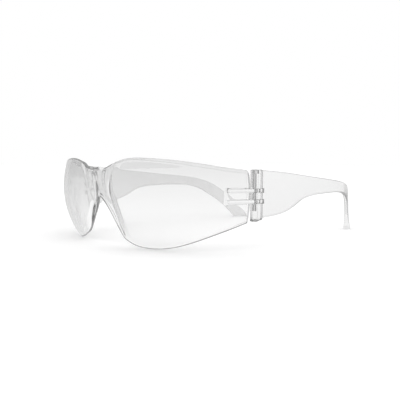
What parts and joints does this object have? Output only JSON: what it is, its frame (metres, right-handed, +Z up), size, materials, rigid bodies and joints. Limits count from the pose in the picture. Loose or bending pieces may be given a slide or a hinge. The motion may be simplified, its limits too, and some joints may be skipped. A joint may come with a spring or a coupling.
{
  "type": "safety glasses",
  "caption": "Frameless wraparound safety glasses: one clear moulded shield with bridge and nose saddle, and two wide clear temples that fold on upright hinge pins.",
  "frame": {"origin": "on the surface that the glasses stand on, in the plane of symmetry, midway between the lobes' fronts and the temples' tips, with the temples open", "axes": "+X towards the wearer's left, -Y forward out of the lens, +Y back along the temples, +Z up"},
  "size_m": [0.1482, 0.1667, 0.0453],
  "materials": {
    "clear_shield": "clear, polished polycarbonate",
    "clear_temple": "clear, polished polycarbonate",
    "pin_steel": "plain drawn steel"
  },
  "bodies": {
    "shield": {"lens": "clear_shield"},
    "left_arm": {"left_temple": "clear_temple", "left_hinge_pin": "pin_steel"},
    "right_arm": {"right_temple": "clear_temple", "right_hinge_pin": "pin_steel"}
  },
  "joints": [
    {"name": "left_temple_fold", "type": "hinge", "parent": "shield", "child": "left_arm", "pos_m": [0.07, -0.0372, 0.0274], "axis": [0, 0, 1], "range_deg": [0, 90]},
    {"name": "right_temple_fold", "type": "hinge", "parent": "shield", "child": "right_arm", "pos_m": [-0.07, -0.0372, 0.0274], "axis": [0, 0, -1], "range_deg": [0, 80]}
  ]
}
